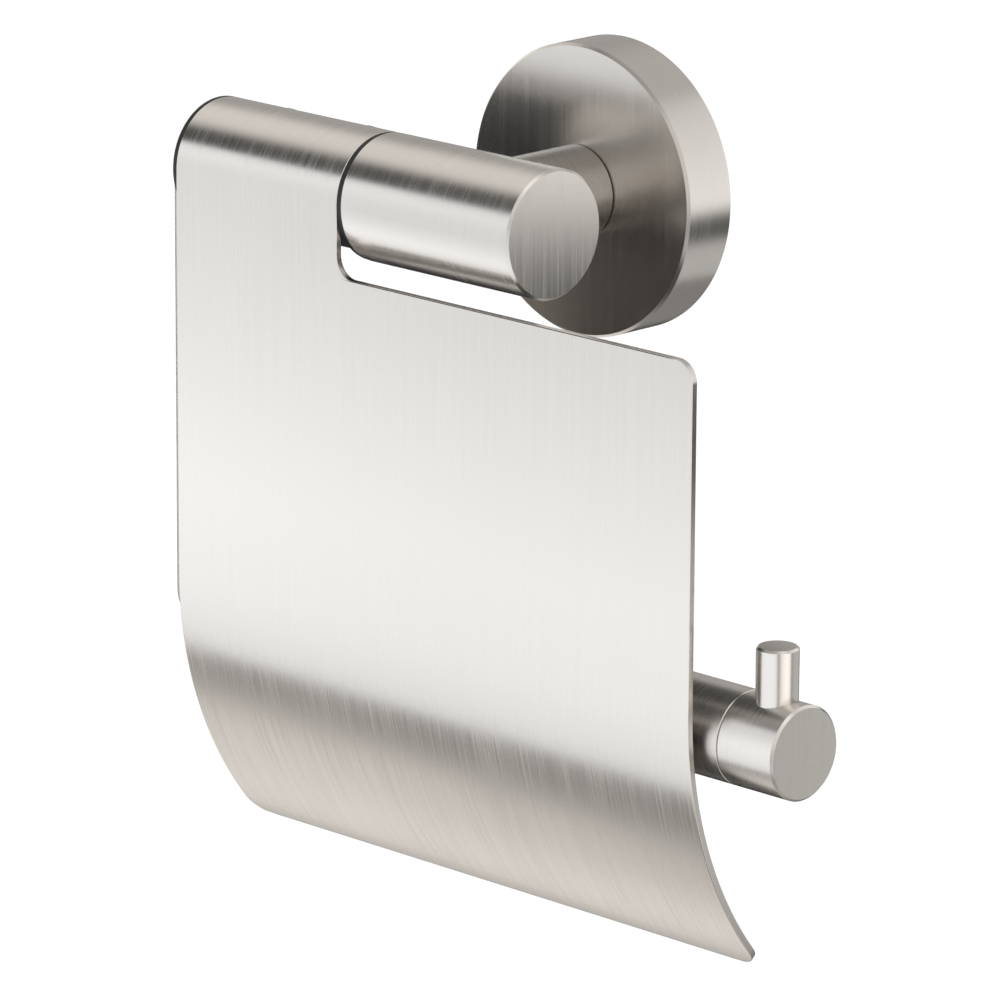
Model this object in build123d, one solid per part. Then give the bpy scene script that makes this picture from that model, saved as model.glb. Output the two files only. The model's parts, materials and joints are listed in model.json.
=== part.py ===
"""Wall-hung toilet paper holder with a hinged cover flap. Millimetres.

+X runs to the right along the roll bar, +Y goes into the wall and +Z is up.
The origin is the middle of the rosette on the wall's surface.
"""
import os
from math import cos, degrees, radians, sin, sqrt

from build123d import *

# ---- driving dimensions -------------------------------------------------------------------

# rosette and wall plate
rosette_radius = 27.0
rosette_depth = 11.0
rosette_wall = 2.0
rosette_bevel = 0.5
plate_depth = 7.0
plate_base = 3.0
plate_rim = 4.0
plate_clearance = 0.3
wall_hole_radius = 2.25
wall_hole_spacing = 28.0
wall_boss_radius = 5.3
wall_boss_height = 1.0
plate_bevel = 0.4
groove_depth = 2.2           # V groove with 45 degree sides
groove_offset = 0.5          # behind the middle of the plate's depth
groove_tip_gap = 0.2

# bars: one stock size for post, arm and roll bar
bar_radius = 8.6
axis_depth = 39.6          # wall to the hinge axis and the roll bar's axis
bar_drop = 82.0            # hinge axis down to the roll bar's axis
saddle_gap = 0.02

# holder body
body_radius = 11.85
body_right = 21.3
body_left = -20.6
edge_bevel = 0.45
socket_depth = 14.5

# hinge
spindle_radius = 7.0
spindle_bevel = 0.4
spindle_step = 0.04        # fixed fit of the spindle in its socket
running_clearance = 0.05
ring_width = 1.0
ring_play = 0.05
ring_inset = 0.1
sheet_seat = 0.03          # rolled sheet to bush
flange_width = 0.8
arm_clearance = 0.4
open_angle = 88.0
stop_radius = 1.5
stop_angle = 104.0         # stop pin, from the front over the top
stop_place = 0.40          # share of the sleeve's length, from its right end
stop_tip_gap = 0.3
stop_spare_angle = 0.6
stop_slot_gap = 0.2        # each side of the stop pin, along the hinge
stop_edge_gap = 0.1        # stop pin to the slot's end, at the spindle's surface
stop_root = 0.3            # inner end of the stop pin, from the hinge axis

# cover flap
sheet = 1.35
flap_left = -63.6
flap_right = 65.8
flap_top = -13.1           # top edge of the flat part, from the hinge axis
flap_curve_rise = 5.4      # start of the bottom curve, above the roll bar's axis
flap_curve_radius = 74.8
flap_curve_angle = 42.2
flap_corner = 4.0
wrap_angle = 125.5         # rolled edge, from the front over the top
flap_screw_angle = 115.0
flap_screw_inset = 7.0

# side arm and roll bar
arm_x = -64.1
spigot_radius = 5.0
spigot_length = 6.0
seam_x = 69.5
seam_width = 0.22          # shadow groove where two bars meet
seam_depth = 0.6
seam_bevel = 0.15
stop_length = 13.1
pin_radius = 3.8
pin_bevel = 0.4
pin_height = 18.1          # pin's top above the roll bar's axis
pin_inset = 6.7            # pin's axis, back from the end face
pin_shank_radius = 2.5
pin_shank_depth = 6.0
pin_sink = 0.2             # pin's seat below the bar's surface

# fasteners
m6_radius = 3.0
m6_head_radius = 5.0
m6_head_height = 4.0
m6_engagement = 9.0         # thread in the body
m6_socket_radius = 2.3
washer_radius = 6.5
washer_thickness = 1.0
dowel_radius = 1.5
dowel_length = 7.0
dowel_offset = 5.6
m4_radius = 2.0
m4_socket_radius = 1.15
m4_socket_depth = 2.0
cone_share = 0.6           # length of a set screw's cone, in screw radii
tip_share = 0.4            # radius of the cone's tip, in screw radii
mouth_recess = 0.35        # set screw's mouth under the surface it is screwed into
spindle_screw_depth = 1.0
screw_head_radius = 1.6
screw_radius = 0.9
screw_length = 3.9
screw_sink = 0.02          # screw head under the sheet's surface
screw_overlap = 0.1        # shank reaches into the head
screw_socket_radius = 0.6
screw_socket_depth = 0.8
screw_seat = 0.06          # countersink to screw head
stud_radius = 3.0
stud_length = 17.0
stud_end_gap = 0.5         # stud to the pin's shank
thread_gap = 0.02          # screw to its tapped hole
bore_gap = 0.2             # screw to its plain hole
hole_spare = 0.3           # blind hole past the end of what it holds
past = 10.0                # a cutter's length past the surface it cuts

# ---- derived places -----------------------------------------------------------------------

hinge = Vector(0, -axis_depth, 0)
bar_axis = Vector(0, -axis_depth, -bar_drop)
sleeve_right = body_left - ring_width
bush_radius = body_radius - sheet - sheet_seat
arm_side_room = bar_radius + arm_clearance
end_x = seam_x + stop_length
pin_x = end_x - pin_inset
stud_end = pin_x - pin_shank_radius - stud_end_gap
flap_straight = bar_drop - flap_curve_rise
stop_x = sleeve_right + stop_place * (flap_left - sleeve_right)
spindle_end = body_left + socket_depth
cup_inside = rosette_radius - rosette_wall
cup_face = -(rosette_depth - rosette_wall)
plate_radius = cup_inside - plate_clearance


# ---- helpers ------------------------------------------------------------------------------

def rod(radius, start, end):
    """A round bar from one point to another."""
    start, end = Vector(*start), Vector(*end)
    run = end - start
    place = Plane(origin=start, z_dir=run.normalized())
    return place * Cylinder(radius, run.length, align=(Align.CENTER, Align.CENTER, Align.MIN))


def block(x, y, z):
    """A box between two values on each axis."""
    size = (x[1] - x[0], y[1] - y[0], z[1] - z[0])
    middle = ((x[0] + x[1]) / 2, (y[0] + y[1]) / 2, (z[0] + z[1]) / 2)
    return Pos(*middle) * Box(*size)


def around_hinge(angle, radius, x=0.0):
    """A point at an angle about the hinge axis: 0 is the front, 90 the top, 180 the back."""
    turn = radians(angle)
    return Vector(x, hinge.Y - radius * cos(turn), hinge.Z + radius * sin(turn))


def hinge_rod(radius, left, right):
    """A round bar on the hinge axis."""
    return rod(radius, (left, hinge.Y, hinge.Z), (right, hinge.Y, hinge.Z))


def bar_rod(radius, left, right):
    """A round bar on the roll bar's axis."""
    return rod(radius, (left, bar_axis.Y, bar_axis.Z), (right, bar_axis.Y, bar_axis.Z))


def bevel_ring(part, axis, place, radius, size):
    """Bevel the round edge of that radius which lies at a place along an axis."""
    edges = [
        edge
        for edge in part.edges().filter_by(GeomType.CIRCLE)
        if abs(edge.radius - radius) < 1e-4 and abs(getattr(edge.arc_center, axis) - place) < 1e-3
    ]
    return chamfer(edges, size)


def hex_socket(radius, start, end):
    """The cutter of a hexagon socket, from its mouth to its floor."""
    start, end = Vector(*start), Vector(*end)
    run = end - start
    place = Plane(origin=start, z_dir=run.normalized())
    return extrude(place * RegularPolygon(radius, 6), run.length)


def set_screw(radius, mouth, tip):
    """A headless screw with a cone at its tip and a hexagon socket in its mouth."""
    mouth, tip = Vector(*mouth), Vector(*tip)
    way = (tip - mouth).normalized()
    shoulder = tip - way * radius * cone_share
    cone = Cone(radius, radius * tip_share, radius * cone_share, align=(Align.CENTER, Align.CENTER, Align.MIN))
    screw = rod(radius, mouth, shoulder) + Plane(origin=shoulder, z_dir=way) * cone
    return screw - hex_socket(m4_socket_radius, mouth, mouth + way * m4_socket_depth)


def sector(first, last, x, reach=60.0):
    """A wedge about the hinge axis between two angles less than 180 apart."""
    middle = (first + last) / 2
    side = reach / cos(radians((last - first) / 2))
    corners = [around_hinge(0, 0), around_hinge(first, side), around_hinge(middle, 2 * side)]
    corners.append(around_hinge(last, side))
    outline = Polyline(*[(p.Y, p.Z) for p in corners], close=True)
    face = Plane(origin=(x[0], 0, 0), x_dir=(0, 1, 0), z_dir=(1, 0, 0)) * make_face(outline)
    return extrude(face, x[1] - x[0])


# ---- wall side ----------------------------------------------------------------------------

groove_y = -plate_depth / 2 - groove_offset
grub_mouth_z = -(rosette_radius - mouth_recess)
grub_tip_z = -(plate_radius - groove_depth + tip_share * m4_radius + groove_tip_gap)


def wall_plate():
    """Shallow dish that is screwed to the wall, with a groove for the locking screw."""
    plate = rod(plate_radius, (0, -plate_depth, 0), (0, 0, 0))
    plate -= rod(plate_radius - plate_rim, (0, -plate_depth, 0), (0, -plate_base, 0))
    for side in (-1, 1):
        x = side * wall_hole_spacing / 2
        plate += rod(wall_boss_radius, (x, -plate_base - wall_boss_height, 0), (x, 0, 0))
        plate -= rod(wall_hole_radius, (x, -plate_depth, 0), (x, 0, 0))
    groove = Plane.XY * Pos(plate_radius, groove_y) * Rot(0, 0, 45)
    groove = groove * Rectangle(groove_depth * sqrt(2), groove_depth * sqrt(2))
    plate -= revolve(groove, Axis.Y)
    return bevel_ring(plate, "Y", -plate_depth, plate_radius, plate_bevel)


def rosette():
    """Round cup that covers the wall plate."""
    cup = rod(rosette_radius, (0, -rosette_depth, 0), (0, 0, 0))
    cup = bevel_ring(cup, "Y", -rosette_depth, rosette_radius, rosette_bevel)
    cup -= rod(cup_inside, (0, cup_face, 0), (0, 0, 0))
    cup -= rod(m6_radius + bore_gap, (0, -rosette_depth, 0), (0, cup_face, 0))
    cup -= rod(dowel_radius + thread_gap, (0, -rosette_depth, dowel_offset), (0, cup_face, dowel_offset))
    return cup - rod(m4_radius + thread_gap, (0, groove_y, -rosette_radius - past), (0, groove_y, 1 - cup_inside))


def rosette_grub_screw():
    """Set screw in the underside of the rosette. Its cone sits in the plate's groove."""
    return set_screw(m4_radius, (0, groove_y, grub_mouth_z), (0, groove_y, grub_tip_z))


# ---- post ---------------------------------------------------------------------------------

post_foot = -rosette_depth
post_tip = hinge.Y + sqrt(body_radius**2 - bar_radius**2)
screw_tip = hinge.Y + body_radius - m6_engagement


def post():
    """Round bar between rosette and body, coped to sit on the body."""
    bar = rod(bar_radius, (0, hinge.Y, 0), (0, post_foot - seam_width, 0))
    bar = bevel_ring(bar, "Y", post_foot - seam_width, bar_radius, seam_bevel)
    bar += rod(bar_radius - seam_depth, (0, post_foot - 1, 0), (0, post_foot, 0))
    bar -= hinge_rod(body_radius + saddle_gap, body_left - past, body_right + past)
    bar -= rod(m6_radius + bore_gap, (0, hinge.Y, 0), (0, post_foot, 0))
    dowel_end = cup_face - dowel_length - hole_spare
    return bar - rod(dowel_radius + thread_gap, (0, dowel_end, dowel_offset), (0, post_foot, dowel_offset))


def post_screw():
    """Cap screw from inside the rosette, through the post and into the body."""
    seat = cup_face + washer_thickness
    screw = rod(m6_radius, (0, screw_tip, 0), (0, seat, 0))
    screw += rod(m6_head_radius, (0, seat, 0), (0, seat + m6_head_height, 0))
    top = seat + m6_head_height
    return screw - hex_socket(m6_socket_radius, (0, top, 0), (0, top - m6_head_height / 2, 0))


def post_washer():
    """Flat washer under the cap screw."""
    ring = rod(washer_radius, (0, cup_face, 0), (0, cup_face + washer_thickness, 0))
    ring -= rod(m6_radius + bore_gap, (0, cup_face, 0), (0, cup_face + washer_thickness, 0))
    return ring - rod(dowel_radius + thread_gap, (0, cup_face, dowel_offset), (0, 0, dowel_offset))


def post_dowel():
    """Pin that keys the post to the rosette."""
    return rod(dowel_radius, (0, cup_face - dowel_length, dowel_offset), (0, cup_face, dowel_offset))


# ---- body and hinge -----------------------------------------------------------------------

spindle_screw_x = (body_left + spindle_end) / 2


def holder_body():
    """Solid round body with a socket for the spindle in its left end."""
    body = hinge_rod(body_radius, body_left, body_right)
    body = bevel_ring(body, "X", body_right, body_radius, edge_bevel)
    body = bevel_ring(body, "X", body_left, body_radius, edge_bevel / 2)
    body -= hinge_rod(spindle_radius + spindle_step, body_left, spindle_end + hole_spare)
    body -= rod(m6_radius + thread_gap, (0, screw_tip - hole_spare, 0), (0, 0, 0))
    x, y = spindle_screw_x, hinge.Y
    return body - rod(m4_radius + thread_gap, (x, y, hinge.Z - body_radius - past), (x, y, hinge.Z))


def spindle_grub_screw():
    """Set screw under the body that locks the spindle."""
    x, y = spindle_screw_x, hinge.Y
    mouth = hinge.Z - body_radius + mouth_recess
    return set_screw(m4_radius, (x, y, mouth), (x, y, hinge.Z - spindle_radius + spindle_screw_depth))


def hinge_spindle():
    """Top leg of the frame: it carries the bush and is plugged into the side arm."""
    bar = hinge_rod(spindle_radius, arm_x, spindle_end)
    bar = bevel_ring(bar, "X", spindle_end, spindle_radius, spindle_bevel)
    bar -= rod(bar_radius + saddle_gap, (arm_x, hinge.Y, -past), (arm_x, hinge.Y, past))
    spigot_left = arm_x + bar_radius - spigot_length
    bar += hinge_rod(spigot_radius, spigot_left, arm_x + bar_radius + spindle_bevel)
    x, y = spindle_screw_x, hinge.Y
    tip = hinge.Z - spindle_radius + spindle_screw_depth
    bar -= rod(m4_radius + thread_gap, (x, y, hinge.Z - body_radius), (x, y, tip + thread_gap))
    return bar - rod(stop_radius + thread_gap, around_hinge(stop_angle, 0, stop_x), stop_tip())


def stop_tip():
    """The outer end of the stop pin, just under the rolled sheet."""
    return around_hinge(stop_angle, bush_radius - stop_tip_gap, stop_x)


def hinge_stop_pin():
    """Dowel that stands out of the spindle and limits the flap's travel."""
    return rod(stop_radius, around_hinge(stop_angle, stop_root, stop_x), stop_tip())


def thrust_washer():
    """Black ring that keeps the turning sleeve off the body."""
    left = sleeve_right + ring_play
    ring = hinge_rod(body_radius - ring_inset, left, body_left)
    return ring - hinge_rod(spindle_radius + spindle_step, left, body_left)


def arm_sweep(left, right):
    """All that the side arm passes through, as the bush turns past it."""
    room = block((left, right), (hinge.Y - arm_side_room, hinge.Y + arm_side_room), (-bar_drop, 0))
    opened = room.rotate(Axis(hinge, (1, 0, 0)), open_angle)
    between = sector(270 - open_angle, 270, (left, right))
    return room + opened + between


def hinge_bush():
    """Plastic core of the rolled edge: a full bearing ring, and an open shell round the arm."""
    full_left = arm_x + bar_radius + arm_clearance
    bush = hinge_rod(bush_radius, flap_left, sleeve_right)
    bush += hinge_rod(body_radius, flap_left - flange_width, flap_left)
    bush -= hinge_rod(spindle_radius + running_clearance, flap_left - past, sleeve_right)
    bush -= hinge_rod(arm_side_room, flap_left - past, full_left)
    bush -= arm_sweep(flap_left - past, full_left)
    spare = stop_spare_angle + degrees((stop_radius + stop_edge_gap) / spindle_radius)
    slot_half = stop_radius + stop_slot_gap
    bush -= sector(stop_angle - open_angle - spare, stop_angle + spare, (stop_x - slot_half, stop_x + slot_half))
    for x in flap_screw_places():
        bush -= rod(screw_radius + thread_gap, around_hinge(flap_screw_angle, spindle_radius, x),
                    around_hinge(flap_screw_angle, body_radius, x))
    return bush


# ---- cover flap ---------------------------------------------------------------------------

def flap_screw_places():
    """Where the two flap screws stand along the hinge."""
    return (flap_left + 2 * flap_screw_inset, sleeve_right - flap_screw_inset)


def cover_flap():
    """One sheet: rolled over the bush, flat in front, and curved back at the bottom."""
    outer, inner = body_radius, body_radius - sheet
    front = hinge.Y - outer
    centre = Vector(front + flap_curve_radius, hinge.Z - flap_straight)

    def strip(hinge_radius, curve_radius):
        roll = [around_hinge(a, hinge_radius) for a in (wrap_angle, wrap_angle / 2, 0)]
        y = hinge.Y - hinge_radius
        turns = [radians(flap_curve_angle * share) for share in (0, 0.5, 1)]
        low = [(centre.X - curve_radius * cos(t), centre.Y - curve_radius * sin(t)) for t in turns]
        arc = ThreePointArc(*[(p.Y, p.Z) for p in roll])
        return [arc, Line((y, 0), low[0]), ThreePointArc(*low)]

    outside = strip(outer, flap_curve_radius)
    inside = strip(inner, flap_curve_radius - sheet)
    tail = Line(outside[0] @ 0, inside[0] @ 0)
    hem = Line(outside[2] @ 1, inside[2] @ 1)
    profile = make_face(Curve() + outside + inside + [tail, hem])
    place = Plane(origin=(flap_left, 0, 0), x_dir=(0, 1, 0), z_dir=(1, 0, 0))
    flap = extrude(place * profile, flap_right - flap_left)
    flap -= block((sleeve_right, flap_right + past), (front - past, 0), (hinge.Z + flap_top, outer + past))
    corners = [
        edge
        for edge in flap.edges().filter_by(GeomType.LINE)
        if abs(edge.length - sheet) < 1e-3 and edge.center().Z < hinge.Z + flap_top + 0.1
    ]
    flap = fillet(corners, flap_corner)
    for x in flap_screw_places():
        way = Plane(origin=around_hinge(flap_screw_angle, body_radius, x),
                    z_dir=around_hinge(flap_screw_angle, -1) - hinge)
        head = Cone(screw_head_radius + screw_seat, screw_radius + screw_seat, sheet,
                    align=(Align.CENTER, Align.CENTER, Align.MIN))
        flap -= way * head
        flap -= rod(screw_radius + screw_seat, around_hinge(flap_screw_angle, spindle_radius, x),
                    around_hinge(flap_screw_angle, outer, x))
    return flap


def flap_screws():
    """Two countersunk screws through the rolled edge into the bush."""
    screws = []
    for x in flap_screw_places():
        way = (around_hinge(flap_screw_angle, -1) - hinge).normalized()
        top = around_hinge(flap_screw_angle, body_radius - screw_sink, x)
        plane = Plane(origin=top, z_dir=way)
        head = Cone(screw_head_radius, screw_radius, sheet, align=(Align.CENTER, Align.CENTER, Align.MIN))
        screw = plane * head + rod(screw_radius, top + way * (sheet - screw_overlap), top + way * screw_length)
        screws.append(screw - hex_socket(screw_socket_radius, top, top + way * screw_socket_depth))
    return Compound(children=screws)


# ---- arm, roll bar and end stop -----------------------------------------------------------

def side_arm():
    """Upright bar with domed ends that joins the spindle and the roll bar."""
    top, bottom = (arm_x, hinge.Y, hinge.Z), (arm_x, bar_axis.Y, bar_axis.Z)
    arm = rod(bar_radius, bottom, top) + Pos(*top) * Sphere(bar_radius) + Pos(*bottom) * Sphere(bar_radius)
    for place in (hinge_rod, bar_rod):
        arm -= place(spigot_radius + thread_gap, arm_x + bar_radius - spigot_length - hole_spare, arm_x + bar_radius)
    return arm


def roll_bar():
    """Bar that carries the paper roll, plugged into the side arm."""
    bar = bar_rod(bar_radius, arm_x, seam_x)
    bar = bevel_ring(bar, "X", seam_x, bar_radius, seam_bevel)
    bar -= rod(bar_radius + saddle_gap, (arm_x, bar_axis.Y, bar_axis.Z - past), (arm_x, bar_axis.Y, bar_axis.Z + past))
    bar += bar_rod(spigot_radius, arm_x + bar_radius - spigot_length, arm_x + bar_radius + spindle_bevel)
    return bar - bar_rod(stud_radius + thread_gap, seam_x - stud_length / 2 - hole_spare, seam_x)


def end_stud():
    """Threaded stud across the seam of roll bar and end stop."""
    return bar_rod(stud_radius, seam_x - stud_length / 2, stud_end)


def end_stop():
    """Turned end piece with a hole for the pin in its top."""
    stop = bar_rod(bar_radius, seam_x + seam_width, end_x)
    stop = bevel_ring(stop, "X", seam_x + seam_width, bar_radius, seam_bevel)
    stop = bevel_ring(stop, "X", end_x, bar_radius, edge_bevel)
    stop += bar_rod(bar_radius - seam_depth, seam_x, seam_x + 1)
    stop -= bar_rod(stud_radius + thread_gap, seam_x, stud_end + thread_gap)
    seat = pin_seat()
    stop -= rod(pin_radius + thread_gap, (pin_x, bar_axis.Y, seat), (pin_x, bar_axis.Y, seat + past))
    floor = seat - pin_shank_depth
    return stop - rod(pin_shank_radius + thread_gap, (pin_x, bar_axis.Y, floor - hole_spare), (pin_x, bar_axis.Y, seat))


def pin_seat():
    """Height of the flat that the pin's shoulder sits on, a little below the bar's crest."""
    return bar_axis.Z + sqrt(bar_radius**2 - pin_radius**2) - pin_sink


def stop_pin():
    """Upright pin with a thinner shank in the end stop."""
    top = bar_axis.Z + pin_height
    pin = rod(pin_radius, (pin_x, bar_axis.Y, pin_seat()), (pin_x, bar_axis.Y, top))
    pin = bevel_ring(pin, "Z", top, pin_radius, pin_bevel)
    return pin + rod(pin_shank_radius, (pin_x, bar_axis.Y, pin_seat() - pin_shank_depth),
                     (pin_x, bar_axis.Y, pin_seat()))


# ---- write every piece --------------------------------------------------------------------

pieces = [
    wall_plate, rosette, rosette_grub_screw,
    post, post_screw, post_washer, post_dowel,
    holder_body, spindle_grub_screw, hinge_spindle, hinge_stop_pin, thrust_washer, hinge_bush,
    cover_flap, flap_screws,
    side_arm, roll_bar, end_stud, end_stop, stop_pin,
]

os.makedirs("parts", exist_ok=True)
for piece in pieces:
    solid = piece()
    export_step(solid, f"parts/{piece.__name__}.step")
    print(piece.__name__, round(solid.volume, 1))
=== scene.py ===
# %% [markdown]
# # A wall-hung toilet paper holder in brushed steel
# The holder is a round rosette, a short post, a thick round body and a C-shaped frame that carries the
# roll. A sheet cover is rolled over the hinge at its top left and hangs in front of the roll.
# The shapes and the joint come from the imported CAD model. This lesson gives them their looks: it makes
# the camera and the light, the finishes, and the pieces whose edges matter most up close.

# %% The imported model
import json
from math import cos, pi, radians, sin

import bmesh
import bpy
from mathutils import Matrix, Vector


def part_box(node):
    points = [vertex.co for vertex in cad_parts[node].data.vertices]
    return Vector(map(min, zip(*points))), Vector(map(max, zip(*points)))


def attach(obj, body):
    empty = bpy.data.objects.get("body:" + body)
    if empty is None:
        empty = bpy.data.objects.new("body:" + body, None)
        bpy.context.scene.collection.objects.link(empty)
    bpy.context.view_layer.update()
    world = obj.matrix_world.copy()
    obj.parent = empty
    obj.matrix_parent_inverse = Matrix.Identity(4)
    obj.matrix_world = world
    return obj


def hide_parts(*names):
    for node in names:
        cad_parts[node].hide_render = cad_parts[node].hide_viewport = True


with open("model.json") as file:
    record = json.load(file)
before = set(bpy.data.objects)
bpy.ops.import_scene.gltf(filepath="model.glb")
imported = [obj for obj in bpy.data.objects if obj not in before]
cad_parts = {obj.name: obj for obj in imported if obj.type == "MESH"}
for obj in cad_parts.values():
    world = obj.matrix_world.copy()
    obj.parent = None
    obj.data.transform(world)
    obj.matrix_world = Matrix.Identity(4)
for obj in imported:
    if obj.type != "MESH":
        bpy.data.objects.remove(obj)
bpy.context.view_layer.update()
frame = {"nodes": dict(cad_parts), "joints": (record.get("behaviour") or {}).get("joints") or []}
hinge = Vector(frame["joints"][0]["pos_m"])
MM = 0.001
print("nodes:", len(frame["nodes"]), "hinge axis at", [round(v / MM, 1) for v in hinge], "mm")

# %% [markdown]
# ## Camera
# A product picture like this is taken with a long lens from about a metre and a quarter, so that round
# pieces stay round. The camera could be placed by hand in the viewport. Here it is worked out from a
# target, two angles and a distance, because then each number means something and can be changed alone.

# %% Camera
camera_azimuth, camera_elevation, camera_roll = radians(44.406), radians(15.263), radians(0.329)
camera_distance = 1.2635
camera_target = Vector((0.0083, hinge.y, -0.0509))

back = Vector((
    sin(camera_azimuth) * cos(camera_elevation),
    -cos(camera_azimuth) * cos(camera_elevation),
    sin(camera_elevation),
))
level_right = Vector((0, 0, 1)).cross(back).normalized()
level_up = back.cross(level_right)
right = level_right * cos(camera_roll) + level_up * sin(camera_roll)
up = level_up * cos(camera_roll) - level_right * sin(camera_roll)

camera_data = bpy.data.cameras.new("camera")
camera_data.sensor_width = 36.0
camera_data.lens = 253.8
camera_data.clip_start, camera_data.clip_end = 0.05, 40.0
camera = bpy.data.objects.new("camera", camera_data)
turn = Matrix((right, up, back)).transposed().to_4x4()
camera.matrix_world = Matrix.Translation(camera_target + back * camera_distance) @ turn
bpy.context.scene.collection.objects.link(camera)
bpy.context.scene.camera = camera
print("camera at", [round(v, 3) for v in camera.matrix_world.translation])

# %% [markdown]
# ## Shader maths as plain expressions
# A brushed finish is mostly arithmetic on coordinates. Wiring Math nodes one by one hides that, so a
# small class wraps a node's output socket, and the usual operators add the Math nodes.

# %% A socket that can be calculated with
class Value:
    """An output socket of a shader tree. An operator on it adds a Math node."""

    def __init__(self, tree, socket):
        self.tree, self.socket = tree, socket

    def math(self, operation, *others, clamp=False):
        links = {0: self, **{i + 1: other for i, other in enumerate(others)}}
        return node(self.tree, "ShaderNodeMath", links, operation=operation, use_clamp=clamp)

    def __add__(self, other):
        return self.math("ADD", other)

    def __mul__(self, other):
        return self.math("MULTIPLY", other)

    def __sub__(self, other):
        return self.math("SUBTRACT", other)

    def __rsub__(self, other):
        return node(self.tree, "ShaderNodeMath", {0: other, 1: self}, operation="SUBTRACT")

    def __gt__(self, other):
        return self.math("GREATER_THAN", other)

    def __pow__(self, other):
        return self.math("POWER", other)

    __radd__, __rmul__ = __add__, __mul__

    def between(self, low, high):
        """0 below low, 1 above high, and smooth between them."""
        links = {"Value": self, "From Min": low, "From Max": high}
        return node(self.tree, "ShaderNodeMapRange", links, interpolation_type="SMOOTHSTEP")

    def until(self, low, high):
        """1 below low, 0 above high, and smooth between them."""
        return 1 - self.between(low, high)


def node(tree, kind, links=None, output=0, **settings):
    """Add a node: its settings first, then the values or links of its sockets."""
    made = tree.nodes.new(kind)
    for name, value in settings.items():
        if name == "stops":
            ramp = made.color_ramp.elements
            while len(ramp) < len(value):
                ramp.new(0.5)
            for element, (place, colour) in zip(ramp, value):
                element.position, element.color = place, colour
        else:
            setattr(made, name, value)
    for name, value in (links or {}).items():
        socket = made.inputs[name]
        if isinstance(value, Value):
            tree.links.new(value.socket, socket)
        else:
            socket.default_value = value
    return Value(tree, made.outputs[output])


def new_material(name):
    """An empty material with its shader and the tree to fill."""
    material = bpy.data.materials.new(name)
    material.use_nodes = True
    tree = material.node_tree
    tree.nodes.clear()
    shader = tree.nodes.new("ShaderNodeBsdfPrincipled")
    output = tree.nodes.new("ShaderNodeOutputMaterial")
    tree.links.new(shader.outputs["BSDF"], output.inputs["Surface"])
    return material, tree, shader


def scaled(tree, colour, amount):
    """A fixed colour made brighter or darker by a value."""
    return node(tree, "ShaderNodeVectorMath", {0: colour, "Scale": amount}, operation="SCALE")


def feed(tree, shader, **inputs):
    """Link values into the shader's own sockets; underscores stand for spaces."""
    for name, value in inputs.items():
        tree.links.new(value.socket, shader.inputs[name.replace("_", " ")])


print("shader helpers ready")

# %% [markdown]
# ## Brushed steel
# Brushing leaves fine parallel lines: along the sheet on the cover, round the axis on turned bars, and
# straight down on flat faces. The lines could be a painted image, but noise that is squeezed hard across
# the lines and stretched along them gives lines of any length with no seams. Three sizes of line are
# added. They drive the roughness most, the height a little and the colour least, as on real metal, where
# a band of reflected light frays into streaks at its edges.

# %% Brushed steel finish
LINE_ACROSS = (5200.0, 2000.0, 700.0)
LINE_ALONG = (60.0, 26.0, 12.0)
LINE_SHARE = (0.36, 0.38, 0.26)
LINE_EDGES = (0.32, 0.68)
LINE_HEIGHT = 0.012 * MM
CLOUD_SCALE, CLOUD_ROUGHNESS = 45.0, 0.03
STEEL = (0.70, 0.675, 0.645)


def streaks(tree, place, across):
    """Noise lines that run square to the axes named in across, such as "x"."""
    total = None
    for fine, long, share in zip(LINE_ACROSS, LINE_ALONG, LINE_SHARE):
        stretch = tuple(fine if axis in across else long for axis in "xyz")
        spot = node(tree, "ShaderNodeVectorMath", {0: place, 1: stretch}, operation="MULTIPLY")
        noise = node(tree, "ShaderNodeTexNoise", {"Vector": spot, "Scale": 1.0, "Detail": 2.0, "Roughness": 0.6})
        total = noise * share if total is None else total + noise * share
    return total


def component(tree, vector, axis):
    """One number of a vector."""
    return node(tree, "ShaderNodeSeparateXYZ", {0: vector}, output="xyz".index(axis))


def brushed_steel(name, across, smooth, depth, spread=0.07, contrast=0.035, face=None, face_across=None, uv=False,
                  tone=STEEL):
    """Brushed stainless steel. Where it faces the axis in face, the lines turn.

    smooth is its least roughness, and spread what the lines add to that. depth is the strength of their
    height, and contrast the share by which they darken or lighten the tone.
    """
    material, tree, shader = new_material(name)
    place = node(tree, "ShaderNodeTexCoord", output=2 if uv else 3)
    lines = streaks(tree, place, across)
    if face:
        normal = node(tree, "ShaderNodeTexCoord", output=1)
        on_face = component(tree, normal, face).math("ABSOLUTE") > 0.8
        face_lines = streaks(tree, place, face_across)
        lines = lines * (1 - on_face) + face_lines * on_face
    lines = lines.between(*LINE_EDGES)
    cloud = node(tree, "ShaderNodeTexNoise", {"Vector": place, "Scale": CLOUD_SCALE, "Detail": 3.0})
    rough = smooth + spread * lines ** 1.6 + CLOUD_ROUGHNESS * cloud.between(0.35, 0.7)
    dark = tuple(v * (1 - contrast) for v in tone) + (1.0,)
    light = tuple(min(1.0, v * (1 + 0.7 * contrast)) for v in tone) + (1.0,)
    shade = 0.7 * lines + 0.3 * cloud
    colour = node(tree, "ShaderNodeMix", {0: shade, 6: dark, 7: light}, output=2, data_type="RGBA")
    bump = node(tree, "ShaderNodeBump", {"Height": lines, "Strength": depth, "Distance": LINE_HEIGHT})
    shader.inputs["Metallic"].default_value = 1.0
    feed(tree, shader, Base_Color=colour, Roughness=rough, Normal=bump)
    return material


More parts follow.
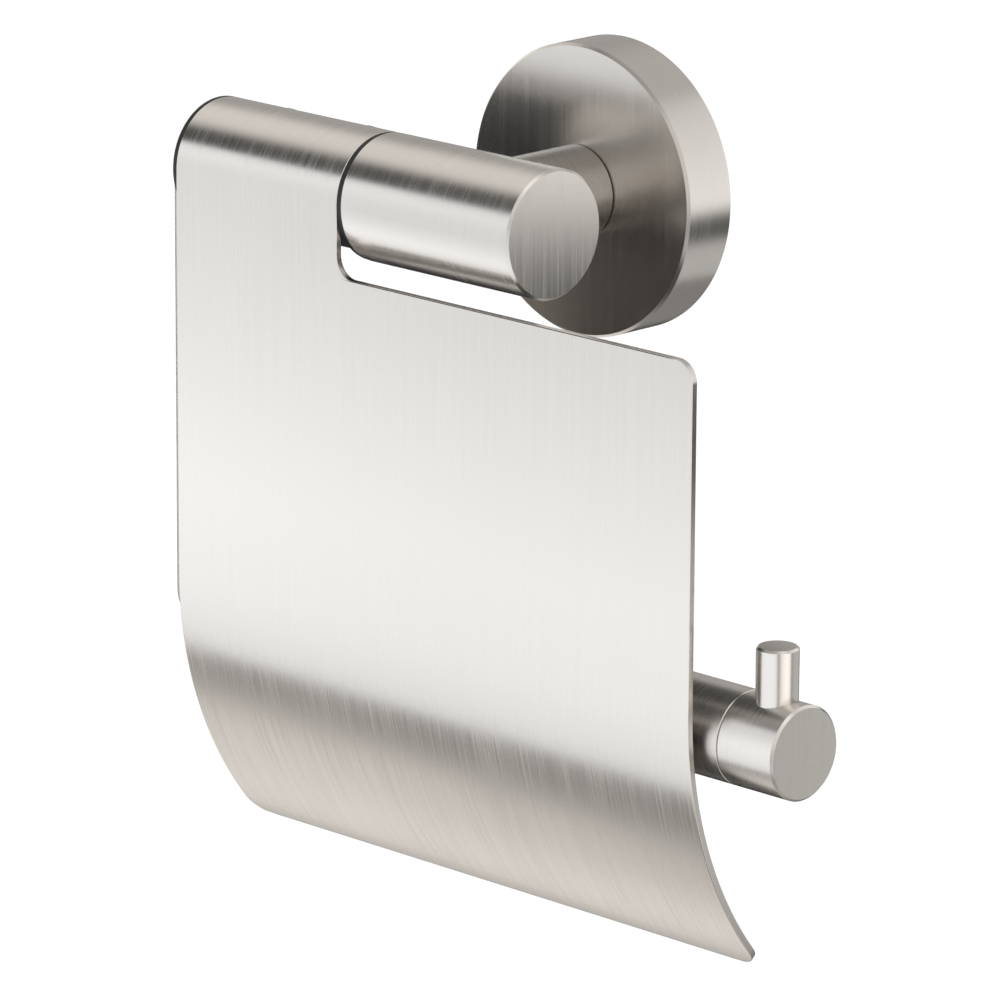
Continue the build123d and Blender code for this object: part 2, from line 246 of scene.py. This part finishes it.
finishes = {
    "cover": brushed_steel("brushed_cover", "x", 0.175, 0.20, spread=0.13, contrast=0.03, uv=True),
    "body": brushed_steel("brushed_body", "x", 0.20, 0.25, spread=0.08, contrast=0.03, face="x", face_across="y"),
    "bar": brushed_steel("brushed_bar", "x", 0.25, 0.30, contrast=0.06, face="x", face_across="y"),
    # The post gets a darker copy of the same steel's tone: painted shade, not a different metal.
    "post": brushed_steel("brushed_post_painted_shade", "y", 0.24, 0.15, spread=0.05, tone=(0.58, 0.555, 0.525)),
    "arm": brushed_steel("brushed_arm", "z", 0.24, 0.20),
    "rosette": brushed_steel("brushed_rosette", "y", 0.205, 0.15, spread=0.05, face="y", face_across="x"),
    "pin": brushed_steel("brushed_pin", "z", 0.24, 0.05, spread=0.04, contrast=0.02, face="z", face_across="x"),
}
print("steel finishes:", sorted(finishes))

# %% [markdown]
# ## Black plastic, fasteners and the wall plate
# The hinge bush and the thin ring are moulded in black acetal, with a very fine even grain. Screws and
# dowels are zinc plated. The plate behind the rosette is die-cast and left as it comes from the mould.

# %% Plastic, zinc and cast finishes
def grained(name, base, other, metallic, rough, rough_range, grain, depth):
    """A finish of one colour with fine grain in colour, roughness and height."""
    material, tree, shader = new_material(name)
    place = node(tree, "ShaderNodeTexCoord", output=3)
    fine = node(tree, "ShaderNodeTexNoise", {"Vector": place, "Scale": grain, "Detail": 4.0})
    broad = node(tree, "ShaderNodeTexNoise", {"Vector": place, "Scale": grain * 0.08, "Detail": 2.0})
    mottle = (0.5 * fine + 0.5 * broad).between(0.35, 0.65)
    colour = node(tree, "ShaderNodeMix", {0: mottle, 6: (*base, 1), 7: (*other, 1)}, output=2, data_type="RGBA")
    bump = node(tree, "ShaderNodeBump", {"Height": fine, "Strength": 0.4, "Distance": depth})
    shader.inputs["Metallic"].default_value = metallic
    feed(tree, shader, Base_Color=colour, Roughness=rough + rough_range * mottle, Normal=bump)
    return material


finishes["black"] = grained("black_acetal", (0.004, 0.004, 0.004), (0.009, 0.009, 0.008), 0.0, 0.50, 0.14,
                            3500.0, 0.015 * MM)
finishes["zinc"] = grained("zinc_plated", (0.52, 0.53, 0.55), (0.66, 0.67, 0.68), 1.0, 0.26, 0.16,
                           1800.0, 0.01 * MM)
finishes["cast"] = grained("cast_plate", (0.30, 0.30, 0.31), (0.38, 0.38, 0.38), 1.0, 0.45, 0.15,
                           1200.0, 0.04 * MM)
print("finishes:", sorted(finishes))

# %% [markdown]
# ## The CAD pieces keep their shapes
# Turned pieces are already right in the CAD model, so each only gets its finish in its material slot.

# %% Finishes on the CAD pieces
node_finish = {
    "rosette": "rosette", "post": "post", "holder_body": "body", "hinge_spindle": "bar",
    "side_arm": "arm", "roll_bar": "bar", "end_stop": "bar", "stop_pin": "pin",
    "thrust_washer": "black", "hinge_bush": "black", "wall_plate": "cast", "cover_flap": "body",
}
for name, piece in frame["nodes"].items():
    piece.data.materials.clear()
    piece.data.materials.append(finishes[node_finish.get(name, "zinc")])
print("finished", len(frame["nodes"]), "CAD pieces")

# %% [markdown]
# ## The cover: cut flat, then bent
# The real cover is a flat blank with rounded corners and a notch. It is rolled over the hinge at one end
# and curved back at the other. It could be modelled as a bent box with a bevel modifier, but the roll and
# the notch meet in one sheet, so this follows the workshop: the blank is drawn flat, in x and in distance
# along the sheet, and then a Geometry Nodes tree bends it. Its inputs are the sizes a press brake needs.
# The edges are broken by a small radius that catches the light.

# %% Sizes of the blank
cover_low, cover_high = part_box("cover_flap")
sheet = 1.35 * MM
edge_radius = 0.18 * MM
roll_radius = cover_high.z - hinge.z
roll_wrap = radians(125.5)
sleeve_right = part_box("holder_body")[0].x - 1.0 * MM
neck = 13.1 * MM
straight = 76.6 * MM
curve_radius = 74.8 * MM
curve_angle = radians(42.2)
corner = 4.0 * MM

roll_length = roll_radius * roll_wrap
curve_length = curve_radius * curve_angle
bend_start = roll_length + straight
blank_length = bend_start + curve_length
print("blank", round((cover_high.x - cover_low.x) / MM, 1), "by", round(blank_length / MM, 1), "mm")

# %% [markdown]
# The blank is a grid of rows. Most rows are plain; at each rounded corner the rows close up and their
# ends follow a quarter circle. Above the notch only the left block of columns exists.

# %% Rows of the blank
def evenly(first, last, steps):
    """Evenly spaced values, without the last one."""
    return [first + (last - first) * i / steps for i in range(steps)]


left, right_side = cover_low.x, cover_high.x
split = sleeve_right + corner
quarter = [radians(90) * i / 10 for i in range(11)]
notch_start = roll_length + neck - corner
top_edge = roll_length + neck
rows = [(s, left, sleeve_right, None) for s in evenly(0, roll_length, 40)]
rows += [(s, left, sleeve_right, None) for s in evenly(roll_length, notch_start, 5)]
rows += [(notch_start + corner * sin(a), left, sleeve_right + corner * (1 - cos(a)), None) for a in quarter[:-1]]
rows += [(top_edge + corner * (1 - cos(a)), left, split, right_side - corner * (1 - sin(a))) for a in quarter[:-1]]
rows += [(s, left, split, right_side) for s in evenly(top_edge + corner, bend_start, 22)]
rows += [(s, left, split, right_side) for s in evenly(bend_start, blank_length - corner, 30)]
rows += [
    (blank_length - corner * (1 - sin(a)), left + corner * (1 - cos(a)), split, right_side - corner * (1 - cos(a)))
    for a in quarter
]
left_columns, right_columns = 16, 30
print(len(rows), "rows")


# %% The flat grid and its outline
def flat_grid():
    """Points of the blank as (x, distance), its four-sided faces and its outline in order."""
    points, ids = [], []
    for distance, first, middle, last in rows:
        line = []
        for i in range(left_columns + 1):
            points.append((first + (middle - first) * i / left_columns, distance))
            line.append(len(points) - 1)
        if last is not None:
            for i in range(1, right_columns + 1):
                points.append((middle + (last - middle) * i / right_columns, distance))
                line.append(len(points) - 1)
        ids.append(line)
    faces = []
    for upper, lower in zip(ids, ids[1:]):
        for i in range(len(upper) - 1):
            faces.append((upper[i], upper[i + 1], lower[i + 1], lower[i]))
    wide = next(i for i, row in enumerate(rows) if row[3] is not None)
    outline = [line[0] for line in ids] + ids[-1][1:]
    outline += [line[-1] for line in reversed(ids[wide:-1])]
    outline += list(reversed(ids[wide][left_columns:-1]))
    outline += [line[-1] for line in reversed(ids[:wide])]
    outline += list(reversed(ids[0][1:-1]))
    return points, faces, outline


blank_points, blank_faces, blank_outline = flat_grid()
print(len(blank_points), "points,", len(blank_faces), "faces,", len(blank_outline), "on the outline")


# %% [markdown]
# The two faces of the sheet share the grid. Between them, rings of points run round the outline: a
# quarter turn in from the outer face, down the edge, and a quarter turn out to the inner face.

# %% Bend the blank into the cover
def inward(outline, points):
    """For each outline point, the step in the blank's plane that is one unit in from both its edges."""
    steps = []
    for i, here in enumerate(outline):
        before, after = Vector(points[outline[i - 1]]), Vector(points[outline[(i + 1) % len(outline)]])
        middle = Vector(points[here])
        first, second = (middle - before).normalized(), (after - middle).normalized()
        normals = [Vector((edge.y, -edge.x)) for edge in (first, second)]
        step = normals[0] + normals[1]
        steps.append(step * (2 / max(step.length_squared, 1.0)))
    return steps


def make_blank():
    """The flat sheet, with depth downward, and a UV map in metres: across, then along the sheet."""
    steps = inward(blank_outline, blank_points)
    if (Vector(blank_points[blank_outline[0]]) + steps[0] * edge_radius).x < left:
        steps = [-step for step in steps]
    rim = {point: i for i, point in enumerate(blank_outline)}
    turns = [radians(90) * i / 4 for i in range(5)]
    rings = [(edge_radius * (1 - sin(a)), edge_radius * (1 - cos(a))) for a in turns]
    rings += [(shift, sheet - depth) for shift, depth in reversed(rings)]

    mesh, flat = bmesh.new(), {}

    def add(x, distance, depth):
        vert = mesh.verts.new((x, distance, -depth))
        flat[vert] = (x, distance)
        return vert

    ring_verts = []
    for shift, depth in rings:
        ring = []
        for i, point in enumerate(blank_outline):
            x, distance = Vector(blank_points[point]) + steps[i] * shift
            ring.append(add(x, min(max(distance, 0.0), blank_length), depth))
        ring_verts.append(ring)
    for depth, ring in ((0.0, ring_verts[0]), (sheet, ring_verts[-1])):
        verts = [
            ring[rim[i]] if i in rim else add(*point, depth)
            for i, point in enumerate(blank_points)
        ]
        for face in blank_faces:
            corners = [verts[i] for i in face]
            mesh.faces.new(corners if depth == 0.0 else list(reversed(corners)))
    count = len(blank_outline)
    for upper, lower in zip(ring_verts, ring_verts[1:]):
        for i in range(count):
            j = (i + 1) % count
            mesh.faces.new((upper[i], upper[j], lower[j], lower[i]))
    layer = mesh.loops.layers.uv.new("sheet")
    for face in mesh.faces:
        face.smooth = True
        for loop in face.loops:
            loop[layer].uv = flat[loop.vert]
    bmesh.ops.recalc_face_normals(mesh, faces=mesh.faces)
    data = bpy.data.meshes.new("cover_sheet")
    mesh.to_mesh(data)
    mesh.free()
    piece = bpy.data.objects.new("cover_sheet", data)
    bpy.context.scene.collection.objects.link(piece)
    return piece


cover = make_blank()
print("blank:", len(cover.data.polygons), "faces")

# %% [markdown]
# ## Geometry Nodes from a script
# A tree is a small machine with named inputs. Building it here, instead of in the node editor, keeps its
# sums readable with the same class as the finishes. Once it has run, its result is kept as a plain mesh.

# %% Geometry Nodes helpers
def geometry_tree(name, **inputs):
    """A Geometry Nodes tree with a geometry input and output, and the named inputs as Values."""
    tree = bpy.data.node_groups.new(name, "GeometryNodeTree")
    tree.interface.new_socket("Geometry", in_out="INPUT", socket_type="NodeSocketGeometry")
    tree.interface.new_socket("Geometry", in_out="OUTPUT", socket_type="NodeSocketGeometry")
    for label, kind in inputs.items():
        tree.interface.new_socket(label, in_out="INPUT", socket_type="NodeSocket" + kind)
    given = tree.nodes.new("NodeGroupInput")
    return tree, {socket.name: Value(tree, socket) for socket in given.outputs if socket.name}


def end_tree(tree, geometry, material):
    """Realize the instances, set the material and give the result to the output."""
    solid = node(tree, "GeometryNodeRealizeInstances", {"Geometry": geometry})
    dressed = node(tree, "GeometryNodeSetMaterial", {"Geometry": solid, "Material": material})
    output = tree.nodes.new("NodeGroupOutput")
    tree.links.new(dressed.socket, output.inputs["Geometry"])


def grown(piece, tree, **inputs):
    """Run a tree on a piece with its inputs set by identifier, and keep the result as a plain mesh."""
    modifier = piece.modifiers.new(tree.name, "NODES")
    modifier.node_group = tree
    for item in tree.interface.items_tree:
        if item.in_out == "INPUT" and item.name in inputs:
            modifier[item.identifier] = inputs[item.name]
    keep_mesh(piece)
    slots = piece.data.materials
    for i in reversed(range(len(slots))):
        if slots[i] is None:
            slots.pop(index=i)
    return piece


def keep_mesh(piece):
    """Replace a piece's mesh by its evaluated mesh, and remove its modifiers."""
    graph = bpy.context.evaluated_depsgraph_get()
    made = bpy.data.meshes.new_from_object(piece.evaluated_get(graph), preserve_all_data_layers=True, depsgraph=graph)
    piece.modifiers.clear()
    piece.data = made
    return piece


def not_below(value, low=0.0):
    """The value, held at low where it would be less."""
    return value.math("MAXIMUM", low)


print("geometry helpers ready")

# %% [markdown]
# ## Bending the blank
# Along the sheet there are three stretches: the roll round the hinge, the straight front, and the curve
# back under. Each stretch only moves a point while its distance is inside it, so the whole path is one
# sum, and a limit keeps each part still before it starts and after it ends.

# %% The bend
def bend_tree():
    """Moves a flat sheet (x, distance, -depth) onto the bent path."""
    tree, given = geometry_tree("bend_sheet", hinge_y="Float", hinge_z="Float", roll_radius="Float",
                                roll_wrap="Float", straight="Float", curve_radius="Float", finish="Material")
    radius, wrap, curve = given["roll_radius"], given["roll_wrap"], given["curve_radius"]
    place = node(tree, "GeometryNodeInputPosition")
    distance, depth = component(tree, place, "y"), 0 - component(tree, place, "z")
    past_roll = distance - radius * wrap
    roll = not_below(0 - past_roll.math("DIVIDE", radius))
    drop = not_below(past_roll).math("MINIMUM", given["straight"])
    turn = not_below((past_roll - given["straight"]).math("DIVIDE", curve))
    inner, outer = radius - depth, curve - depth
    y = given["hinge_y"] - inner * roll.math("COSINE") + outer * (1 - turn.math("COSINE"))
    z = given["hinge_z"] + inner * roll.math("SINE") - drop - outer * turn.math("SINE")
    bent = node(tree, "ShaderNodeCombineXYZ", {"X": component(tree, place, "x"), "Y": y, "Z": z})
    moved = node(tree, "GeometryNodeSetPosition", {"Geometry": given["Geometry"], "Position": bent})
    end_tree(tree, moved, given["finish"])
    return tree


grown(cover, bend_tree(), hinge_y=hinge.y, hinge_z=hinge.z, roll_radius=roll_radius, roll_wrap=roll_wrap,
      straight=straight, curve_radius=curve_radius, finish=finishes["cover"])
print("bent cover:", [round(v / MM, 1) for v in cover.dimensions], "mm")

# %% [markdown]
# Two countersunk screws hold the rolled edge on the bush, at the back where they don't show. Their seats
# are cut with a Boolean, and then weighted normals keep the big faces flat right up to the broken edges.

# %% Screw seats and clean shading
screw_angle = radians(115.0)
head_radius = 1.6 * MM
seat_narrow, seat_wide = head_radius - 0.72 * MM, head_radius + 0.22 * MM
seat_depth, seat_rise = 1.8 * MM, 0.3 * MM


def modified(piece, **modifiers):
    """Apply modifiers, given as name=(type, settings), and keep the result as a plain mesh."""
    for name, (kind, settings) in modifiers.items():
        modifier = piece.modifiers.new(name, kind)
        for key, value in settings.items():
            setattr(modifier, key, value)
    return keep_mesh(piece)


def seat_tree():
    """Cones in a row along X, one over each screw, all pointing out of the roll."""
    tree, given = geometry_tree("seat_row", count="Int", start="Vector", pitch="Vector", tilt="Vector",
                                inner="Float", outer="Float", depth="Float", finish="Material")
    row = node(tree, "GeometryNodeMeshLine", {"Count": given["count"], "Start Location": given["start"],
                                              "Offset": given["pitch"]}, mode="OFFSET")
    cone = node(tree, "GeometryNodeMeshCone", {"Vertices": 64, "Radius Bottom": given["inner"],
                                               "Radius Top": given["outer"], "Depth": given["depth"]})
    seats = node(tree, "GeometryNodeInstanceOnPoints", {"Points": row, "Instance": cone, "Rotation": given["tilt"]})
    end_tree(tree, seats, given["finish"])
    return tree


def seat_cutter():
    """The seats' cones as a mesh that the Boolean can take away from the sheet."""
    cutter = bpy.data.objects.new("screw_seats", bpy.data.meshes.new("screw_seats"))
    bpy.context.scene.collection.objects.link(cutter)
    low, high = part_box("flap_screws")
    way = Vector((0, -cos(screw_angle), sin(screw_angle)))
    start = Vector((low.x + head_radius, hinge.y, hinge.z)) + way * (roll_radius + seat_rise - seat_depth)
    return grown(cutter, seat_tree(), count=2, start=start, pitch=Vector((high.x - low.x - 2 * head_radius, 0, 0)),
                 tilt=Vector((radians(90) - screw_angle, 0, 0)), inner=seat_narrow, outer=seat_wide,
                 depth=seat_depth, finish=finishes["cover"])


cutter = seat_cutter()
modified(cover, seats=("BOOLEAN", {"operation": "DIFFERENCE", "object": cutter, "solver": "EXACT"}))
bpy.data.objects.remove(cutter)
modified(cover, shading=("WEIGHTED_NORMAL", {"mode": "FACE_AREA", "weight": 50}))
cover.data.materials.clear()
cover.data.materials.append(finishes["cover"])
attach(cover, "cover")
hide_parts("cover_flap")
print("cover with seats:", len(cover.data.polygons), "faces")

# %% [markdown]
# ## The fillet at the saddle
# Where the post meets the body, the weld is ground to a soft hollow. A ball that rolls along both bars
# at once touches each of them in a known place, so the fillet needs no modelling by eye: its centre line
# and both of its edges follow from the two radii. A Geometry Nodes tree lays a flat grid onto that path.

# %% Saddle fillet
post_low, post_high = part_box("post")
body_low, body_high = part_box("holder_body")
post_radius = (post_high.x - post_low.x) / 2
body_radius = (body_high.z - body_low.z) / 2
ball = 2.2 * MM
ROOT_DEPTH = 0.95


def fillet_tree():
    """A closed ring round the post. Across it, a grid's steps run along the hollow, then to a hidden root."""
    tree, given = geometry_tree("rolling_ball", centre="Vector", post_radius="Float", body_radius="Float",
                                ball="Float", around="Int", across="Int", finish="Material")
    ball, across = given["ball"], given["across"]
    grid = node(tree, "GeometryNodeMeshGrid", {"Size X": 2 * pi, "Size Y": across + 2,
                                               "Vertices X": given["around"] + 1, "Vertices Y": across + 3})
    place = node(tree, "GeometryNodeInputPosition")
    turn, step = component(tree, place, "x"), component(tree, place, "y") + 0.5 * across + 1
    root = (step > across + 0.5) * (1 - (step > across + 1.5))
    share = (1 - (step > across + 0.5)) * step.math("DIVIDE", across)
    reach, far = given["post_radius"] + ball, given["body_radius"] + ball
    x, z = reach * turn.math("COSINE"), reach * turn.math("SINE")
    y = (far * far - z * z).math("SQRT")
    opening = (turn.math("SINE") * z).math("DIVIDE", far).math("ARCCOSINE")
    whole = opening.math("SINE")
    to_post = (opening * (1 - share)).math("SINE").math("DIVIDE", whole) * (1 - root) + ROOT_DEPTH * root
    to_body = (opening * share).math("SINE").math("DIVIDE", whole) * (1 - root) + ROOT_DEPTH * root
    pull = 1 - (ball * to_body).math("DIVIDE", far)
    spot = node(tree, "ShaderNodeCombineXYZ", {
        "X": x - ball * to_post * turn.math("COSINE"),
        "Y": y * pull,
        "Z": z * pull - ball * to_post * turn.math("SINE"),
    })
    spot = node(tree, "ShaderNodeVectorMath", {0: spot, 1: given["centre"]}, operation="ADD")
    ring = node(tree, "GeometryNodeSetPosition", {"Geometry": grid, "Position": spot})
    closed = node(tree, "GeometryNodeMergeByDistance", {"Geometry": ring, "Distance": 0.001 * MM})
    smooth = node(tree, "GeometryNodeSetShadeSmooth", {"Geometry": closed})
    end_tree(tree, smooth, given["finish"])
    return tree


def facing_out(piece):
    """Turn a closed piece's faces outwards."""
    mesh = bmesh.new()
    mesh.from_mesh(piece.data)
    bmesh.ops.recalc_face_normals(mesh, faces=mesh.faces)
    mesh.to_mesh(piece.data)
    mesh.free()
    return piece


fillet = bpy.data.objects.new("saddle_fillet", bpy.data.meshes.new("saddle_fillet"))
bpy.context.scene.collection.objects.link(fillet)
# The fillet takes the post's finish, and with it the post's painted shade.
grown(fillet, fillet_tree(), centre=Vector((0, hinge.y, hinge.z)), post_radius=post_radius, body_radius=body_radius,
      ball=ball, around=160, across=10, finish=finishes["post"])
facing_out(fillet)
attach(fillet, "frame")
print("saddle fillet:", len(fillet.data.polygons), "faces")

# %% [markdown]
# ## Studio light
# Brushed metal shows its surroundings, so the light is designed as what the metal sees. A large soft
# card leans in close in front of the cover. Its lower edge makes the dark band where the cover starts to
# curve, and its upper edge makes the dark line along the top of the hinge. A second card stands behind on
# the right for the end faces and the rosette's rim, and a small one keeps the top of the roll bar dark.
# Only reflections see the cards.

# %% Floor
def flat_card(name, corners):
    """A rectangle from four corners, with a UV map from 0 to 1."""
    data = bpy.data.meshes.new(name)
    data.from_pydata(corners, [], [(0, 1, 2, 3)])
    layer = data.uv_layers.new(name="card")
    for item, place in zip(layer.data, ((0, 0), (1, 0), (1, 1), (0, 1))):
        item.uv = place
    card = bpy.data.objects.new(name, data)
    bpy.context.scene.collection.objects.link(card)
    return card


floor_z, floor_reach = -0.55, 15.0
floor_corners = ((-1, -1), (1, -1), (1, 1), (-1, 1))
floor = flat_card("floor", [(x * floor_reach, y * floor_reach, floor_z) for x, y in floor_corners])
floor_material, _, floor_shader = new_material("pale_floor")
floor_shader.inputs["Base Color"].default_value = (0.93, 0.93, 0.93, 1)
floor_shader.inputs["Roughness"].default_value = 0.9
floor.data.materials.append(floor_material)
floor.visible_glossy = False
print("floor at", floor_z)


# %% Light cards
card_strength = 1.38


def light_card(name, low, high, x, profile, ends, tint, drop=0.0):
    """A glowing card between two lines along X, given as (y, z). Its profile runs from low to high."""
    corners = [(x[0], *low), (x[1], *low), (x[1], *high), (x[0], *high)]
    card = flat_card(name, corners)
    material = bpy.data.materials.new(name)
    material.use_nodes = True
    tree = material.node_tree
    tree.nodes.clear()
    place = node(tree, "ShaderNodeTexCoord", output=2)
    across, along = component(tree, place, "x"), component(tree, place, "y")
    glow = node(tree, "ShaderNodeValToRGB", {0: along}, stops=[(v, (g, g, g, 1)) for v, g in profile])
    fade = across.between(0.0, ends) * across.until(1.0 - ends, 1.0) * (1 - drop * across.between(0.5, 0.75))
    colour = scaled(tree, tint, card_strength * glow * fade)
    light = node(tree, "ShaderNodeEmission", {"Color": colour, "Strength": 1.0})
    output = tree.nodes.new("ShaderNodeOutputMaterial")
    tree.links.new(light.socket, output.inputs["Surface"])
    card.data.materials.append(material)
    for ray in ("camera", "diffuse", "transmission", "shadow"):
        setattr(card, "visible_" + ray, False)
    return card


front_profile = [
    (0.0, 0.84), (0.10, 0.94), (0.18, 0.99), (0.38, 0.74), (0.50, 0.74),
    (0.66, 0.84), (0.84, 0.78), (0.95, 0.20), (1.0, 0.06),
]
light_card("front_card", (-0.083, -0.124), (-0.196, 0.125), (-0.50, 0.147), front_profile, 0.05,
           (0.99, 1.0, 1.015), drop=0.08)

right_profile = [
    (0.0, 0.44), (0.22, 0.44), (0.27, 0.05), (0.350, 0.04), (0.385, 0.48),
    (0.41, 0.84), (0.50, 0.76), (0.9, 0.55), (1.0, 0.40),
]
right_card = light_card("right_card", (0.0, -0.16), (0.0, 0.17), (-0.08, 0.16), right_profile, 0.12,
                        (1.0, 0.985, 0.96))
right_card.matrix_world = Matrix.Translation((0.13, 0.075, 0)) @ Matrix.Rotation(radians(135), 4, "Z")

flag_profile = [(0.0, 0.03), (0.30, 0.05), (0.50, 0.38), (1.0, 0.38)]
light_card("bar_flag", (-0.048, -0.055), (0.02, -0.055), (0.01, 0.068), flag_profile, 0.05, (1.0, 0.96, 0.92))
print("three light cards")

# %% [markdown]
# ## Surroundings
# Away from the cards, the metal sees the room. It could be a picture of a studio wrapped round the scene.
# Here it is a mid grey with lighter and darker parts, each a product of soft edges in the direction's x, y
# and z, so that each part can be moved or changed alone.

# %% World
room_grey = 0.40
room_tint = (1.0, 0.962, 0.918)
camera_white = 1.15


def patch(*edges):
    """A soft-edged part of the surroundings: where all of its edges are 1."""
    total = edges[0]
    for edge in edges[1:]:
        total = total * edge
    return total


world = bpy.data.worlds.new("studio")
world.use_nodes = True
bpy.context.scene.world = world
sky = world.node_tree
sky.nodes.clear()
way = node(sky, "ShaderNodeTexCoord", output=0)
x, y, z = (component(sky, way, axis) for axis in "xyz")
down = 0 - z

lighter = {
    "above": (0.14, patch(z.between(0.35, 0.62), y.between(-0.45, -0.10))),
    "overhead": (0.30, patch(z.between(0.40, 0.60), y.between(-0.28, -0.05), y.until(0.25, 0.60))),
    "below": (0.60, patch(down.between(0.50, 0.60), y.between(-0.43, -0.27), y.until(0.15, 0.40),
                          x.until(-0.5, 0.3))),
    "front right": (0.40, patch(x.between(0.20, 0.50), y.until(0.2, 0.5))),
    "far right": (0.75, x.between(0.76, 0.90)),
    "far left": (0.80, patch(x.until(-0.83, -0.74), y.between(-0.1, 0.2))),
}
darker = {
    "gap over the front card": (0.86, patch(y.until(-0.36, -0.20), x.until(-0.60, -0.30), z.between(0.0, 0.3))),
    "low behind, left": (0.92, patch(down.between(0.02, 0.15), y.between(0.14, 0.42), x.between(-0.83, -0.73),
                                     x.until(-0.62, -0.45))),
    "low behind": (0.92, patch(down.between(0.02, 0.15), down.until(0.36, 0.50), y.between(0.1, 0.4),
                               x.until(-0.35, -0.10))),
    "deep behind": (0.35, patch(down.between(0.35, 0.55), y.between(0.3, 0.6))),
    "low in front, right": (0.50, patch(down.between(0.28, 0.42), y.until(-0.3, 0.05), x.between(-0.70, -0.60))),
}
seen = room_grey
for strength, part in lighter.values():
    seen = seen + strength * part
for share, part in darker.values():
    seen = seen * (1 - share * part)
mirror = node(sky, "ShaderNodeBackground", {"Color": scaled(sky, room_tint, seen), "Strength": 1.0})
plain = node(sky, "ShaderNodeBackground", {"Color": (1, 1, 1, 1), "Strength": camera_white})
glossy = node(sky, "ShaderNodeLightPath", output="Is Glossy Ray")
mixed = node(sky, "ShaderNodeMixShader", {0: glossy, 1: plain, 2: mirror})
sky_output = sky.nodes.new("ShaderNodeOutputWorld")
sky.links.new(mixed.socket, sky_output.inputs["Surface"])
bpy.context.scene.view_settings.view_transform = "Standard"
print("world with", len(lighter), "lighter and", len(darker), "darker parts")
